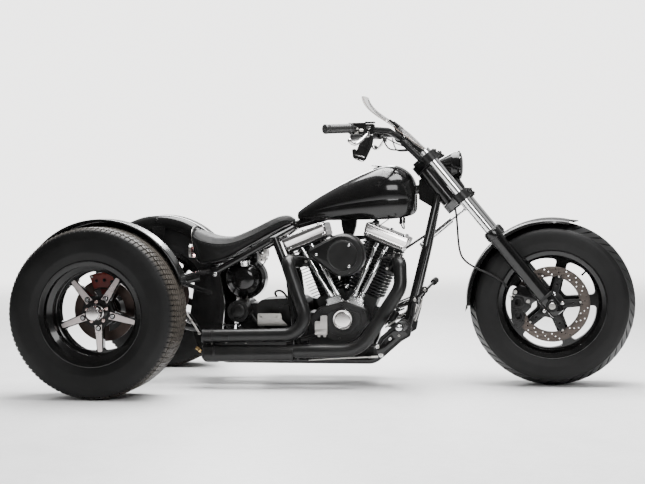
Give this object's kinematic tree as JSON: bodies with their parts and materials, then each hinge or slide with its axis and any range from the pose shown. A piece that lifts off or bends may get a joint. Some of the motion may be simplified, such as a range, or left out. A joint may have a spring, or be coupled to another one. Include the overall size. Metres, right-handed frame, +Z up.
{
  "type": "motorized trike",
  "caption": "Custom motorized trike: one raked front wheel on a wide fork, a finned V-twin in a tube frame, solo seat, and two wide rear wheels on a driven axle.",
  "frame": {"origin": "on the ground, midway between the front and rear axles and midway between the rear wheels", "axes": "+X forward, +Y to the rider's left, +Z up"},
  "size_m": [2.387, 1.257, 1.166],
  "materials": {
    "chrome": "polished",
    "clear_plastic": "clear",
    "disc_steel": "brushed",
    "engine_black": "wrinkle satin",
    "exhaust_black": "matt ceramic",
    "gloss_black": "gloss",
    "lamp_red": "clear gloss",
    "leather": "satin",
    "polished_aluminium": "polished",
    "red_paint": "gloss",
    "rubber": "matt",
    "satin_black": "satin",
    "steel": "satin",
    "tyre": "matt",
    "wheel_black": "gloss"
  },
  "bodies": {
    "chassis": {"air_cleaner": "engine_black", "cam_cover": "engine_black", "crankcase": "engine_black", "cylinders": "engine_black", "exhausts": "exhaust_black", "forward_controls": "satin_black", "frame_cradle": "gloss_black", "frame_rear_section": "gloss_black", "frame_spine": "gloss_black", "fuel_tank": "gloss_black", "intake": "engine_black", "oil_pump": "polished_aluminium", "oil_tank": "gloss_black", "primary_cover": "engine_black", "pushrod_tubes": "chrome", "rear_axle_housing": "satin_black", "rear_brake_calipers": "red_paint", "rear_fenders": "gloss_black", "rocker_boxes": "polished_aluminium", "seat": "leather", "tail_lamp": "lamp_red", "transmission": "engine_black", "transmission_bracket": "polished_aluminium"},
    "fork": {"upper_clamp": "satin_black", "lower_clamp": "satin_black", "fork_tubes": "chrome", "fork_sliders": "satin_black", "front_axle": "steel", "handlebar": "satin_black", "hand_grips": "rubber", "bar_controls": "satin_black", "headlight": "satin_black", "headlight_lens": "clear_plastic", "windshield": "clear_plastic", "front_fender": "gloss_black", "front_caliper": "satin_black", "brake_hose": "rubber"},
    "front_wheel": {"front_tyre": "tyre", "front_rim": "wheel_black", "front_brake_disc": "disc_steel"},
    "rear_wheel_left": {"rear_tyre_left": "tyre", "rear_rim_left": "wheel_black", "rear_brake_disc_left": "disc_steel", "rear_hub_left": "chrome"},
    "rear_wheel_right": {"rear_tyre_right": "tyre", "rear_rim_right": "wheel_black", "rear_brake_disc_right": "disc_steel", "rear_hub_right": "chrome"},
    "damper_barrel": {"damper_body": "polished_aluminium"},
    "damper_piston": {"damper_rod": "steel"}
  },
  "joints": [
    {"name": "steer", "type": "hinge", "parent": "chassis", "child": "fork", "pos_m": [0.40772, 0, 0.80103], "axis": [-0.6293, 0, 0.7771], "range_deg": [-28, 28]},
    {"name": "front_wheel_spin", "type": "hinge", "parent": "fork", "child": "front_wheel", "pos_m": [0.865, 0, 0.3285], "axis": [0, 1, 0], "continuous": true},
    {"name": "rear_wheel_left_spin", "type": "hinge", "parent": "chassis", "child": "rear_wheel_left", "pos_m": [-0.865, 0.508, 0.3285], "axis": [0, 1, 0], "continuous": true},
    {"name": "rear_wheel_right_spin", "type": "hinge", "parent": "chassis", "child": "rear_wheel_right", "pos_m": [-0.865, -0.508, 0.3285], "axis": [0, 1, 0], "continuous": true},
    {"name": "damper_swing", "type": "hinge", "parent": "chassis", "child": "damper_barrel", "pos_m": [0.33403, 0.121, 0.55992], "axis": [-0.6293, 0, 0.7771], "range_deg": [-4, 4]},
    {"name": "damper_slide", "type": "slide", "parent": "damper_barrel", "child": "damper_piston", "axis": [0.7771, 0, 0.6293], "range_m": [-0.061, 0.061]}
  ],
  "couplings": [
    {"joint": "damper_swing", "follows": "steer", "ratio": 0.11064},
    {"joint": "damper_slide", "follows": "steer", "m_per_rad": -0.121}
  ]
}
